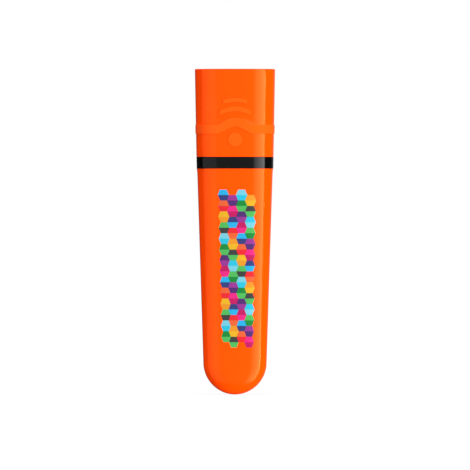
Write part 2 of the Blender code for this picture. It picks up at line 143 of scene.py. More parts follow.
# ---- Outlines ----------------------------------------------------------------------------------


def between(low, high, share):
    return low + (high - low) * share


def smooth(share):
    share = min(max(share, 0.0), 1.0)
    return share * share * (3.0 - 2.0 * share)


def oval_point(half_width, half_depth, power, turn):
    angle = 2.0 * math.pi * turn
    cosine, sine = math.cos(angle), math.sin(angle)
    x = math.copysign(half_width * abs(cosine) ** (2.0 / power), cosine)
    y = math.copysign(half_depth * abs(sine) ** (2.0 / power), sine)
    return x, y


def oval_depth_at(half_width, half_depth, power, x):
    return half_depth * (1.0 - abs(x / half_width) ** power) ** (1.0 / power)


def oval_row(z, half_width, half_depth, power=OVAL_POWER, points=AROUND):
    return [(*oval_point(half_width, half_depth, power, i / points), z) for i in range(points)]


def round_row(z, radius, points=AROUND, x=0.0, y=0.0):
    return [(x + px, y + py, z) for px, py, _ in oval_row(z, radius, radius, ROUND, points)]


def pole(z, x=0.0, y=0.0):
    return [(x, y, z)]


def barrel_sizes(z):
    share = z / COLLAR_BOTTOM
    return between(TAIL_WIDTH, MOUTH_WIDTH, share) / 2, between(TAIL_DEPTH, MOUTH_DEPTH, share) / 2


def tail_share(z, rise):
    return math.sqrt(1.0 - (1.0 - min(max(z / rise, 0.0), 1.0)) ** 2)


def barrel_row(z, inset=0.0):
    half_width, half_depth = barrel_sizes(z)
    return oval_row(
        z,
        (half_width - inset) * tail_share(z - inset, TAIL_RISE_WIDE - inset),
        (half_depth - inset) * tail_share(z - inset, TAIL_RISE_DEEP - inset),
        between(TAIL_POWER, OVAL_POWER, smooth(z / TAIL_RISE_WIDE)),
    )


def collar_row(z, inset=0.0):
    share = (z - COLLAR_BOTTOM) / (COLLAR_TOP - COLLAR_BOTTOM)
    half_width = between(COLLAR_LOW_WIDTH, COLLAR_HIGH_WIDTH, share) / 2
    half_depth = between(COLLAR_LOW_DEPTH, COLLAR_HIGH_DEPTH, share) / 2
    return oval_row(z, half_width - inset, half_depth - inset)


def cone_row(z, inset=0.0):
    share = (z - COLLAR_TOP) / (CONE_TOP - COLLAR_TOP)
    spread = (1.0 - share) ** CONE_CURVE
    base_half_width = COLLAR_HIGH_WIDTH / 2 - CONE_BASE_STEP
    base_half_depth = COLLAR_HIGH_DEPTH / 2 - CONE_BASE_STEP
    half_width = between(CONE_TOP_RADIUS, base_half_width, spread)
    half_depth = between(CONE_TOP_RADIUS, base_half_depth, spread)
    return oval_row(z, half_width - inset, half_depth - inset, between(OVAL_POWER, ROUND, smooth(share)))


def cap_sizes(z, inset=0.0):
    share = (z - COLLAR_TOP) / (CAP_TOP - COLLAR_TOP)
    half_width = between(CAP_MOUTH_WIDTH, CAP_TOP_WIDTH, share) / 2
    half_depth = between(CAP_MOUTH_DEPTH, CAP_TOP_DEPTH, share) / 2
    return half_width - inset, half_depth - inset


def cap_row(z, inset=0.0):
    return oval_row(z, *cap_sizes(z, inset))


def circle_row(radius):
    """A row maker for a round bar or hole, used as barrel_row or cap_row is."""
    return lambda z, inset=0.0: round_row(z, radius - inset)


def lift(x, rise, flat, end):
    return rise * (1.0 - smooth((abs(x) - flat) / (end - flat)))


def hump_row(z, hump, follow, stand=0.0):
    """A ring of the cap that follows a hump by a share, standing proud by stand."""
    row = []
    for i in range(AROUND):
        x, _ = oval_point(*cap_sizes(z, -stand), OVAL_POWER, i / AROUND)
        lifted = z + follow * lift(x, *hump)
        row.append((*oval_point(*cap_sizes(lifted, -stand), OVAL_POWER, i / AROUND), lifted))
    return row


def rounding(make_row, end, radius, outwards, inset=0.0, steps=5):
    """Rows that round an edge at height end, from the side towards the end face.

    outwards is 1 where the end face looks up and -1 where it looks down. A negative radius rounds a
    hole's edge: the rows then widen the hole.
    """
    rows = []
    for i in range(steps + 1):
        angle = QUARTER_TURN * i / steps
        z = end - outwards * abs(radius) * (1.0 - math.sin(angle))
        rows.append(make_row(z, inset + radius * (1.0 - math.cos(angle))))
    return rows


def straight(make_row, start, stop, steps, inset=0.0):
    """Rows between two heights, without the row at the start."""
    return [make_row(between(start, stop, (i + 1) / steps), inset) for i in range(steps)]


# ---- Meshes ------------------------------------------------------------------------------------


def add_mesh(name, bm):
    bmesh.ops.recalc_face_normals(bm, faces=bm.faces)
    mesh = bpy.data.meshes.new(name)
    bm.to_mesh(mesh)
    bm.free()
    mesh.shade_smooth()
    mesh.set_sharp_from_angle(angle=SHARP_ANGLE)
    piece = bpy.data.objects.new(name, mesh)
    bpy.context.scene.collection.objects.link(piece)
    return piece


def loft(name, rows, closed=False, marked=(), split=()):
    """A skin over rows of points.

    The bands of faces numbered in marked take slot 1, and those numbered in split are triangles.
    """
    bm = bmesh.new()
    rings = [[bm.verts.new(point) for point in row] for row in rows]
    pairs = list(zip(rings, rings[1:]))
    if closed:
        pairs.append((rings[-1], rings[0]))
    for number, (low, high) in enumerate(pairs):
        count = max(len(low), len(high))
        for i in range(count):
            j = (i + 1) % count
            corners = (low[i % len(low)], low[j % len(low)], high[j % len(high)], high[i % len(high)])
            face = bm.faces.new(list(dict.fromkeys(corners)))
            face.material_index = 1 if number in marked else 0
            if number in split:
                bmesh.ops.triangulate(bm, faces=[face])
    return add_mesh(name, bm)


def plate(name, low_end, high_end):
    """A straight bar between two level rectangles, each (z, low x, high x, low y, high y)."""
    bm = bmesh.new()
    low, high = [
        [bm.verts.new(point) for point in ((x0, y0, z), (x1, y0, z), (x1, y1, z), (x0, y1, z))]
        for z, x0, x1, y0, y1 in (low_end, high_end)
    ]
    bm.faces.new(low)
    bm.faces.new(high)
    for i in range(4):
        j = (i + 1) % 4
        bm.faces.new((low[i], low[j], high[j], high[i]))
    return add_mesh(name, bm)


def rod(name, bottom, top, radius, x, y, points):
    rows = [
        pole(bottom, x, y),
        round_row(bottom, radius, points, x, y),
        round_row(top, radius, points, x, y),
        pole(top, x, y),
    ]
    return loft(name, rows)


def carve(piece, tools, operation):
    """Joins helper shapes to a piece, or cuts them away, and leaves one plain mesh."""
    for tool in tools:
        modifier = piece.modifiers.new(tool.name, "BOOLEAN")
        modifier.operation = operation
        modifier.solver = "EXACT"
        modifier.material_mode = "TRANSFER"
        modifier.object = tool
    graph = bpy.context.evaluated_depsgraph_get()
    mesh = bpy.data.meshes.new_from_object(piece.evaluated_get(graph))
    piece.modifiers.clear()
    piece.data = mesh
    mesh.set_sharp_from_angle(angle=SHARP_ANGLE)
    for tool in tools:
        bpy.data.objects.remove(tool)


# ---- Materials ---------------------------------------------------------------------------------

# Noise patterns: scale per metre, detail, and a scale for each axis, below 1 to draw the pattern out
SWIRL = (90.0, 3.0, (1.0, 1.0, 0.3))
HANDLED = (160.0, 4.0)
STRANDS = (5200.0, 3.0, (1.0, 1.0, 0.06))
CREASES = (400.0, 3.0, (1.0, 1.0, 0.15))
DOT_SCREEN = (4000.0, 1.0)
GRAIN_DETAIL = 2.0
# The range that a noise's values usually keep to
NOISE_RANGE = (0.3, 0.7)

GRAIN_DEPTH, STRAND_DEPTH = 0.02 * MM, 0.03 * MM
STRAND_BUMP, FIBRE_SHINE, FIBRE_TINT = 0.07, 0.45, (1.0, 0.8, 0.4, 1.0)
# Film colours for the painted shade and sheen along its creases
FILM_DARK, FILM_LIGHT = (0.72, 0.78, 0.81, 1.0), (0.84, 0.88, 0.90, 1.0)
FILM_ALPHA, FILM_ROUGHNESS = 0.4, (0.1, 0.3)
INK_STRENGTH, INK_THIN, INK_ROUGHNESS = 0.515, 0.93, (0.14, 0.2)


def grey(value):
    return (value, value, value, 1.0)


WHITE = grey(1.0)
# Pigment in the orange plastic warms its shine
WARM = (1.0, 1.0, 0.31, 1.0)

# Plastics: name, darker and lighter colour, roughness range, grain strength, grain scale, tint of the shine
PLASTICS = {
    "gloss": (
        "orange_gloss", (0.97, 0.055, 0.0, 1.0), (0.99, 0.058, 0.0, 1.0), (0.07, 0.11), 0.008, 900.0, WARM
    ),
    "matte": (
        "orange_fine_matte", (0.98, 0.067, 0.001, 1.0), (0.98, 0.071, 0.001, 1.0), (0.42, 0.5), 0.4, 7000.0,
        WARM
    ),
    "black": ("black_gloss", grey(0.0008), grey(0.0014), (0.07, 0.11), 0.02, 900.0, WHITE),
    "satin": ("black_satin", grey(0.010), grey(0.012), (0.36, 0.42), 0.1, 3000.0, WHITE),
    "natural": (
        "milky_plastic", (0.80, 0.79, 0.73, 1.0), (0.86, 0.85, 0.80, 1.0), (0.3, 0.42), 0.2, 1500.0, WHITE
    ),
}
# Fibres: name, colour between the strands (darker there, as painted shade in the grooves) and on them,
# roughness range
FIBRES = {
    "nib": ("nib_fibre", (0.98, 0.014, 0.0, 1.0), (1.0, 0.030, 0.001, 1.0), (0.3, 0.4)),
    "core": ("reservoir_fibre", (0.85, 0.04, 0.002, 1.0), (1.0, 0.10, 0.01, 1.0), (0.6, 0.85)),
}


def new_material(name):
    material = bpy.data.materials.new(name)
    material.use_nodes = True
    return material, material.node_tree.nodes, material.node_tree.links


def add_node(nodes, kind, **values):
    """A node with its settings and inputs set. Input names have _ for a space."""
    node = nodes.new(kind)
    for key, value in values.items():
        if hasattr(node, key):
            setattr(node, key, value)
        else:
            node.inputs[key.replace("_", " ")].default_value = value
    return node


def noise(nodes, links, scale, detail, stretch=(1.0, 1.0, 1.0)):
    """The value output of a noise in the pen's own coordinates, per metre."""
    place = add_node(nodes, "ShaderNodeTexCoord")
    mapping = add_node(nodes, "ShaderNodeMapping", Scale=stretch)
    pattern = add_node(nodes, "ShaderNodeTexNoise", Scale=scale, Detail=detail)
    links.new(place.outputs["Object"], mapping.inputs["Vector"])
    links.new(mapping.outputs["Vector"], pattern.inputs["Vector"])
    return pattern.outputs["Fac"]


def ranged(nodes, links, value, target, source=NOISE_RANGE, interpolation="LINEAR"):
    """A value mapped from its source range to a target range, and held to its ends."""
    remap = add_node(nodes, "ShaderNodeMapRange", interpolation_type=interpolation)
    for key, number in zip(("From Min", "From Max", "To Min", "To Max"), (*source, *target)):
        remap.inputs[key].default_value = number
    links.new(value, remap.inputs["Value"])
    return remap.outputs["Result"]


def mixed(nodes, links, share, first, second):
    """A colour between two, by a pattern's share."""
    mix = add_node(nodes, "ShaderNodeMix", data_type="RGBA")
    mix.inputs["A"].default_value = first
    mix.inputs["B"].default_value = second
    links.new(ranged(nodes, links, share, (0.0, 1.0)), mix.inputs["Factor"])
    return mix.outputs["Result"]


def add_bump(nodes, links, height, strength, depth):
    bump = add_node(nodes, "ShaderNodeBump", Strength=strength, Distance=depth)
    links.new(height, bump.inputs["Height"])
    links.new(bump.outputs["Normal"], nodes["Principled BSDF"].inputs["Normal"])


def plastic(name, dark, light, roughness, grain_strength, grain_scale, tint):
    """Moulded plastic: faint swirl in the colour, handled patches in the gloss, and a surface grain."""
    material, nodes, links = new_material(name)
    shader = nodes["Principled BSDF"]
    swirl = noise(nodes, links, *SWIRL)
    links.new(mixed(nodes, links, swirl, dark, light), shader.inputs["Base Color"])
    handled = noise(nodes, links, *HANDLED)
    links.new(ranged(nodes, links, handled, roughness), shader.inputs["Roughness"])
    grain = noise(nodes, links, grain_scale, GRAIN_DETAIL)
    add_bump(nodes, links, grain, grain_strength, GRAIN_DEPTH)
    shader.inputs["Specular Tint"].default_value = tint
    return material


def fibre(name, dark, light, roughness):
    """Bonded fibre running along the pen, darker between the strands: painted shade in the grooves of its
    bump.
    """
    material, nodes, links = new_material(name)
    shader = nodes["Principled BSDF"]
    strands = noise(nodes, links, *STRANDS)
    # The colour darkens where the strands' bump sinks: painted shade between the strands
    links.new(mixed(nodes, links, strands, dark, light), shader.inputs["Base Color"])
    links.new(ranged(nodes, links, strands, roughness), shader.inputs["Roughness"])
    shader.inputs["Specular IOR Level"].default_value = FIBRE_SHINE
    shader.inputs["Specular Tint"].default_value = FIBRE_TINT
    add_bump(nodes, links, strands, STRAND_BUMP, STRAND_DEPTH)
    return material


def make_film():
    """Thin clear wrap with faint lengthwise creases, drawn only as darker and lighter streaks in its
    colour, which are painted shade and sheen, and as streaks in its gloss.
    """
    material, nodes, links = new_material("clear_film")
    shader = nodes["Principled BSDF"]
    creases = noise(nodes, links, *CREASES)
    # Darker and lighter streaks along the creases: painted shade and sheen
    links.new(mixed(nodes, links, creases, FILM_DARK, FILM_LIGHT), shader.inputs["Base Color"])
    shader.inputs["Alpha"].default_value = FILM_ALPHA
    links.new(ranged(nodes, links, creases, FILM_ROUGHNESS), shader.inputs["Roughness"])
    return material


def linear(channel):
    """The linear light of a screen colour channel from 0 to 255."""
    value = channel / 255.0
    return value / 12.92 if value <= 0.04045 else ((value + 0.055) / 1.055) ** 2.4


def make_ink(name, screen):
    """Printed ink: a fine dot screen in its tone and a satin surface."""
    material, nodes, links = new_material(f"ink_{name}")
    shader = nodes["Principled BSDF"]
    full = tuple(linear(channel) * INK_STRENGTH for channel in screen)
    thin = tuple(channel * INK_THIN for channel in full)
    dots = noise(nodes, links, *DOT_SCREEN)
    links.new(mixed(nodes, links, dots, (*thin, 1.0), (*full, 1.0)), shader.inputs["Base Color"])
    links.new(ranged(nodes, links, dots, INK_ROUGHNESS), shader.inputs["Roughness"])
    return material


def make_materials():
    looks = {key: plastic(*values) for key, values in PLASTICS.items()}
    looks.update({key: fibre(*values) for key, values in FIBRES.items()})
    looks["film"] = make_film()
    return looks


# ---- Pen ---------------------------------------------------------------------------------------


def swollen_row(z, inset=0.0):
    """The barrel's outline near its mouth, where it swells towards the collar."""
    share = (z - (COLLAR_BOTTOM - HAIRLINE - SHOULDER_RISE)) / SHOULDER_RISE
    return barrel_row(z, inset - SHOULDER_STAND * max(share, 0.0) ** 2)


def make_barrel():
    """The orange body: rounded tail, straight taper, a slight swell at the mouth, hollow inside."""
    mouth = COLLAR_BOTTOM - HAIRLINE
    shoulder = mouth - SHOULDER_RISE
    tail_steps, body_steps, shoulder_steps, inner_steps = 36, 24, 10, 16
    rows = [pole(0.0)]
    for i in range(1, tail_steps + 1):
        rows.append(barrel_row(TAIL_RISE_WIDE * (1.0 - math.cos(QUARTER_TURN * i / tail_steps))))
    rows += straight(barrel_row, TAIL_RISE_WIDE, shoulder, body_steps)
    rows += straight(swollen_row, shoulder, mouth - 2 * EDGE, shoulder_steps)
    rows += rounding(swollen_row, mouth, EDGE, 1)
    rows += reversed(rounding(barrel_row, mouth, -EDGE / 2, 1, WALL))
    inner_wall = len(rows) - 1
    rows.append(barrel_row(TAIL_RISE_WIDE, WALL))
    for i in range(inner_steps - 1, 0, -1):
        angle = QUARTER_TURN * i / inner_steps
        rows.append(barrel_row(WALL + (TAIL_RISE_WIDE - WALL) * (1.0 - math.cos(angle)), WALL))
    rows.append(pole(WALL))
    # The inner wall's long faces are flat triangles, so that the ribs join it without slivers
    barrel = loft("barrel_body", rows, split=[inner_wall])
    carve(barrel, barrel_ribs(), "UNION")
    return barrel


def barrel_ribs():
    """The cross that stops the reservoir at the tail, and the guides along its sides."""
    half = RIB / 2
    posts = (("post_wide", POST_HALF_WIDTH, half), ("post_deep", half, POST_HALF_DEPTH))
    ribs = []
    for name, half_x, half_y in posts:
        ends = [(z, -half_x, half_x, -half_y, half_y) for z in (POST_BOTTOM, POST_TOP)]
        ribs.append(plate(name, *ends))
    for side in (-1, 1):
        for face in (-1, 1):
            ends = []
            for z in (GUIDE_BOTTOM, GUIDE_TOP):
                half_width, half_depth = barrel_sizes(z)
                wall = oval_depth_at(half_width - WALL, half_depth - WALL, OVAL_POWER, GUIDE_X)
                reach = sorted((face * GUIDE_EDGE, face * (wall + WALL / 2)))
                ends.append((z, side * GUIDE_X - half, side * GUIDE_X + half, *reach))
            ribs.append(plate(f"guide_{side}_{face}", *ends))
    return ribs


def section_rows():
    """The section's rows, up its outside and down its inside, and the numbers of the cone's rows."""
    plug_outside = WALL + PUSH_GAP
    plug_inside = plug_outside + WALL
    collar_steps, fillet_steps, cone_steps, nozzle_steps, inner_steps = 4, 6, 36, 8, 10
    nozzle_row, bore_row = circle_row(NOZZLE_RADIUS), circle_row(NIB_BORE_RADIUS)
    rows = [barrel_row(PLUG_BOTTOM, plug_inside)]
    rows += reversed(rounding(barrel_row, PLUG_BOTTOM, 2 * EDGE, -1, plug_outside))
    rows.append(barrel_row(COLLAR_BOTTOM, plug_outside))
    rows += reversed(rounding(collar_row, COLLAR_BOTTOM, EDGE, -1))
    rows += straight(collar_row, COLLAR_BOTTOM + EDGE, COLLAR_TOP - EDGE, collar_steps)[:-1]
    rows += rounding(collar_row, COLLAR_TOP, EDGE, 1)
    first = len(rows) - 1
    for i in range(fillet_steps):
        angle = QUARTER_TURN * i / fillet_steps
        rise, spread = CONE_FILLET * (1 - math.cos(angle)), CONE_FILLET * (1 - math.sin(angle))
        rows.append(cone_row(COLLAR_TOP + rise, -spread))
    rows += straight(cone_row, COLLAR_TOP + CONE_FILLET, CONE_TOP - EDGE / 2, cone_steps)
    rows += [cone_row(CONE_TOP, EDGE / 2), nozzle_row(CONE_TOP)]
    last = len(rows) - 1
    rows += straight(nozzle_row, CONE_TOP, NOZZLE_TOP - 2 * EDGE, nozzle_steps)
    rows += rounding(nozzle_row, NOZZLE_TOP, EDGE, 1)
    rows += reversed(rounding(bore_row, NOZZLE_TOP, -EDGE, 1))
    rows += [bore_row(CAVITY_TOP), cone_row(CAVITY_TOP, WALL)]
    rows += straight(cone_row, CAVITY_TOP, COLLAR_TOP, inner_steps, WALL)
    rows.append(barrel_row(COLLAR_BOTTOM, plug_inside))
    return rows, range(first, last)


def make_section(gloss, satin):
    """The black front in one piece: plug, collar, nozzle with its vents, and a flared cone in satin."""
    rows, cone = section_rows()
    section = loft("section_front", rows, closed=True, marked=cone)
    cutters = vent_cutters()
    section.data.materials.append(gloss)
    section.data.materials.append(satin)
    for cutter in cutters:
        cutter.data.materials.append(gloss)
    carve(section, cutters, "DIFFERENCE")
    return section


def vent_cutters():
    """Rods that cut the air grooves along the nib's bore."""
    bottom, top = CAVITY_TOP - MM, NOZZLE_TOP + MM
    cutters = []
    for i in range(VENT_COUNT):
        angle = 2.0 * math.pi * (i + 0.5) / VENT_COUNT
        x, y = NIB_BORE_RADIUS * math.cos(angle), NIB_BORE_RADIUS * math.sin(angle)
        cutters.append(rod(f"vent_{i}", bottom, top, VENT_WIDTH / 2, x, y, AROUND_VENT))
    return cutters


def make_nib():
    """The fibre nib: a rod ground to a blunt cone, with its shoulder eased and its tip a ball."""
    points = AROUND_SMALL
    blend_steps, cone_steps, tip_steps = 10, 12, 12
    tip_middle = NIB_TIP - NIB_TIP_RADIUS
    slope = math.atan2(NIB_RADIUS - NIB_TIP_RADIUS, tip_middle - NIB_SHOULDER)
    wide = NIB_RADIUS - NIB_SHOULDER_BLEND * math.tan(slope)
    narrow = NIB_TIP_RADIUS * math.cos(slope)
    cone_low = NIB_SHOULDER + NIB_SHOULDER_BLEND
    cone_high = tip_middle + NIB_TIP_RADIUS * math.sin(slope)
    rows = [pole(NIB_TAIL), round_row(NIB_TAIL, NIB_RADIUS - NIB_TAIL_CHAMFER, points)]
    rows.append(round_row(NIB_TAIL + NIB_TAIL_CHAMFER, NIB_RADIUS, points))
    for i in range(blend_steps + 1):
        share = i / blend_steps
        z = NIB_SHOULDER + NIB_SHOULDER_BLEND * (2 * share - 1)
        rows.append(round_row(z, between(NIB_RADIUS, wide, share**2), points))
    for i in range(1, cone_steps):
        share = i / cone_steps
        rows.append(round_row(between(cone_low, cone_high, share), between(wide, narrow, share), points))
    for i in range(tip_steps):
        angle = between(slope, QUARTER_TURN, i / tip_steps)
        z, radius = tip_middle + NIB_TIP_RADIUS * math.sin(angle), NIB_TIP_RADIUS * math.cos(angle)
        rows.append(round_row(z, radius, points))
    rows.append(pole(NIB_TIP))
    return loft("nib_point", rows)


def make_core():
    """The fibre bundle, with the nib's socket in its top and a hole right through for the straw."""
    low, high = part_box("reservoir_core")
    points, side_steps = AROUND_SMALL, 24

    def core_row(z, inset=0.0):
        return oval_row(z, high.x - inset, high.y - inset, CORE_POWER, points)

    rows = [pole(low.z)]
    rows += reversed(rounding(core_row, low.z, 2 * EDGE, -1))
    rows += straight(core_row, low.z, high.z - 2 * EDGE, side_steps)
    rows += rounding(core_row, high.z, 2 * EDGE, 1)
    rows += [round_row(z, SOCKET_RADIUS, points) for z in (high.z, SOCKET_FLOOR)]
    rows.append(pole(SOCKET_FLOOR))
    core = loft("ink_reservoir", rows)
    hole_radius = BREATHER_RADIUS + PUSH_GAP
    hole = rod("straw_hole", low.z - MM, high.z + MM, hole_radius, straw_x(), 0.0, AROUND_HOLE)
    carve(core, [hole], "DIFFERENCE")
    return core


def straw_x():
    low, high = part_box("breather_tube")
    return (low.x + high.x) / 2


def make_film_sleeve():
    low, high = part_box("reservoir_film")
    ends = ((low.z, 0.0), (high.z, 0.0), (high.z, FILM), (low.z, FILM))
    rows = [oval_row(z, high.x - inset, high.y - inset, CORE_POWER, AROUND_SMALL) for z, inset in ends]
    return loft("reservoir_wrap", rows, closed=True)


def make_straw():
    low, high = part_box("breather_tube")
    outside, bore = BREATHER_RADIUS, BREATHER_BORE
    ends = ((low.z, outside), (high.z, outside), (high.z, bore), (low.z, bore))
    rows = [round_row(z, radius, AROUND_STRAW, straw_x()) for z, radius in ends]
    return loft("breather_straw", rows, closed=True)


# ---- Cap ---------------------------------------------------------------------------------------


def band_rows():
    """Rows down over the raised band: its upper slope, its face and its lower slope."""
    slope_steps, face_steps = 3, 6
    slope = []
    for i in range(1, slope_steps + 1):
        angle = QUARTER_TURN * i / slope_steps
        slope.append((RELIEF_CHAMFER * (1.0 - math.sin(angle)), RELIEF * (1.0 - math.cos(angle))))
    rows = [hump_row(BAND_TOP + out, UPPER_HUMP, 1.0, stand) for out, stand in slope]
    for i in range(1, face_steps):
        share = i / face_steps
        hump = [between(upper, lower, share) for upper, lower in zip(UPPER_HUMP, LOWER_HUMP)]
        rows.append(hump_row(between(BAND_TOP, BAND_BOTTOM, share), hump, 1.0, RELIEF))
    rows += [hump_row(BAND_BOTTOM - out, LOWER_HUMP, 1.0, stand) for out, stand in reversed(slope)]
    rows.append(hump_row(BAND_BOTTOM - RELIEF_CHAMFER, LOWER_HUMP, 1.0))
    return rows


def cap_rows():
    """The cap's rows, from its top down and up again inside, and the numbers of the band's rows."""
    steps_above, steps_below, inner_steps = 10, 8, 8
    mouth, ceiling, crown = COLLAR_TOP + HAIRLINE, CAP_TOP - CAP_ROOF, CAP_TOP - CAP_EDGE
    rows = [pole(CAP_TOP)]
    rows += reversed(rounding(cap_row, CAP_TOP, CAP_EDGE, 1))
    for i in range(1, steps_above + 1):
        share = i / steps_above
        rows.append(hump_row(between(crown, BAND_TOP + RELIEF_CHAMFER, share), UPPER_HUMP, smooth(share)))
    first = len(rows) - 1
    rows += band_rows()
    last = len(rows) - 1
    for i in range(1, steps_below):
        share = i / steps_below
        z = between(BAND_BOTTOM - RELIEF_CHAMFER, mouth + EDGE, share)
        rows.append(hump_row(z, LOWER_HUMP, smooth(1.0 - share)))
    rows += rounding(cap_row, mouth, EDGE, -1)
    rows += reversed(rounding(cap_row, mouth, -EDGE, -1, CAP_WALL))
    rows += straight(cap_row, mouth + EDGE, ceiling, inner_steps, CAP_WALL)
    rows.append(pole(ceiling))
    return rows, range(first, last)


def cap_face_point(x, z, stand, side):
    half_width, half_depth = cap_sizes(z)
    depth = oval_depth_at(half_width, half_depth, OVAL_POWER, x) + stand
    return side * x, -side * depth, z


def arc_section(thickness, at_end):
    """An arc's cross-section as (height from its middle, stand), with its outer edges chamfered."""
    half, shoulder = thickness / 2, RELIEF - RELIEF_CHAMFER
    top = shoulder if at_end else RELIEF
    return (
        (-half, -RELIEF_ROOT), (-half, shoulder), (-half + RELIEF_CHAMFER, top),
        (half - RELIEF_CHAMFER, top), (half, shoulder), (half, -RELIEF_ROOT),
    )


def thumb_arc(side, height, half_length, thickness, drop):
    """A raised bar that arches over the thumb mark, with a chamfer along its edges and ends."""
    steps = 40
    bm = bmesh.new()
    rings = []
    for i in range(-1, steps + 2):
        share = min(max(2.0 * i / steps - 1.0, -1.0), 1.0)
        x, middle = half_length * share, height - drop * share**2
        if i in (0, steps):
            x -= math.copysign(RELIEF_CHAMFER, x)
        section = arc_section(thickness, i in (-1, steps + 1))
        rings.append([bm.verts.new(cap_face_point(x, middle + dz, stand, side)) for dz, stand in section])
    for first, second in zip(rings, rings[1:]):
        for i in range(len(first)):
            j = (i + 1) % len(first)
            bm.faces.new((first[i], first[j], second[j], second[i]))
    bm.faces.new(rings[0])
    bm.faces.new(rings[-1])
    return add_mesh(f"arc_{side}_{round(height / MM)}", bm)


def thumb_dot(side):
    """A raised round spot, its edge chamfered."""
    profile = (
        (0.0, RELIEF), (DOT_RADIUS / 3, RELIEF), (DOT_RADIUS * 2 / 3, RELIEF),
        (DOT_RADIUS - RELIEF_CHAMFER, RELIEF), (DOT_RADIUS, RELIEF - RELIEF_CHAMFER),
        (DOT_RADIUS, -RELIEF_ROOT), (0.0, -RELIEF_ROOT),
    )
    rows = []
    for radius, stand in profile:
        ring = []
        for i in range(AROUND_DOT if radius > 0.0 else 1):
            angle = 2.0 * math.pi * i / AROUND_DOT
            z = DOT_HEIGHT + radius * math.sin(angle)
            ring.append(cap_face_point(radius * math.cos(angle), z, stand, side))
        rows.append(ring)
    return loft(f"dot_{side}", rows)


def thumb_pads():
    """The thumb dot and arcs of both faces."""
    pads = []
    for side in (-1, 1):
        pads.append(thumb_dot(side))
        pads += [thumb_arc(side, *arc) for arc in THUMB_ARCS]
    return pads


def make_cap(gloss, matte):
    """The cap's shell, with its raised band, thumb dots and arcs in the matte finish."""
    rows, band = cap_rows()
    cap = loft("cap_outer_shell", rows, marked=band)
    cap.data.materials.append(gloss)
    cap.data.materials.append(matte)
    pads = thumb_pads()
    for pad in pads:
        pad.data.materials.append(matte)
    carve(cap, pads, "UNION")
    return cap


def make_inner_cap():
    """The cup that seals the nozzle, the flange that holds it in the cap, and its two webs."""
    cup_steps, half = 6, RIB / 2
    flange_inset = CAP_WALL + PUSH_GAP
    outer_row, bore_row = circle_row(CUP_RADIUS + CUP_WALL), circle_row(CUP_RADIUS)
    rows = [pole(FLANGE_TOP)]
    rows += reversed(rounding(cap_row, FLANGE_TOP, EDGE, 1, flange_inset))
    rows += rounding(cap_row, FLANGE_BOTTOM, EDGE, -1, flange_inset)
    rows.append(outer_row(FLANGE_BOTTOM))
    rows += straight(outer_row, FLANGE_BOTTOM, CUP_MOUTH + 2 * EDGE, cup_steps)
    rows += rounding(outer_row, CUP_MOUTH, EDGE, -1)
    rows += reversed(rounding(bore_row, CUP_MOUTH, -2 * EDGE, -1))
    rows += straight(bore_row, CUP_MOUTH + 2 * EDGE, CUP_ROOF, cup_steps)
    rows.append(pole(CUP_ROOF))
    cup = loft("sealing_cup", rows)
    webs = []
    for side in (-1, 1):
        reach = sorted((side * (CUP_RADIUS + CUP_WALL / 2), side * WEB_HALF_LENGTH))
        ends = [(z, *reach, -half, half) for z in (WEB_BOTTOM, FLANGE_BOTTOM + WALL / 2)]
        webs.append(plate(f"web_{side}", *ends))
    carve(cup, webs, "UNION")
    return cup


# ---- Printed mosaic ----------------------------------------------------------------------------

# Two inks for each tile, as screen colours from 0 to 255
TILE_INKS = (
    ("sky", (45, 190, 250), "navy", (60, 70, 135)),
    ("leaf", (90, 200, 100), "charcoal", (70, 70, 70)),
    ("plum", (90, 50, 125), "violet", (165, 60, 160)),
    ("coral", (255, 110, 60), "red", (255, 45, 55)),
    ("pale_cyan", (130, 220, 240), "cyan", (50, 210, 240)),
    ("magenta", (210, 30, 105), "pink", (255, 45, 145)),
    ("yellow", (255, 195, 40), "amber", (255, 165, 45)),
    ("green", (30, 150, 65), "leaf", (90, 200, 100)),
)
# How far the order of tiles moves on from one row, and from one column, to the next
TILE_STEP_ROW, TILE_STEP_COLUMN = 3, 2


def print_point(u, z):
    """A point of the barrel's main face. u counts columns from the print's middle line."""
    share = (PRINT_TOP - z) / (PRINT_ROWS * HEX_HEIGHT)
    x = between(PRINT_X_TOP, PRINT_X_BOTTOM, share) + u * between(PITCH_TOP, PITCH_BOTTOM, share)
    half_width, half_depth = barrel_sizes(z)
    return x, -oval_depth_at(half_width, half_depth, OVAL_POWER, x) - INK_PROUD, z


def tile_halves():
    """Each half tile as its ink, its column's middle, and the steps of its flat and its wide edge."""
    for column in range(PRINT_COLUMNS):
        middle = column - (PRINT_COLUMNS - 1) / 2
        for row in range(PRINT_ROWS):
            top = 2 * row + column % 2
            number = TILE_STEP_ROW * row + TILE_STEP_COLUMN * column
            upper, lower = TILE_INKS[number % len(TILE_INKS)][0::2]
            if column % 2:
                upper, lower = lower, upper
            yield upper, middle, top, top + 1
            yield lower, middle, top + 2, top + 1


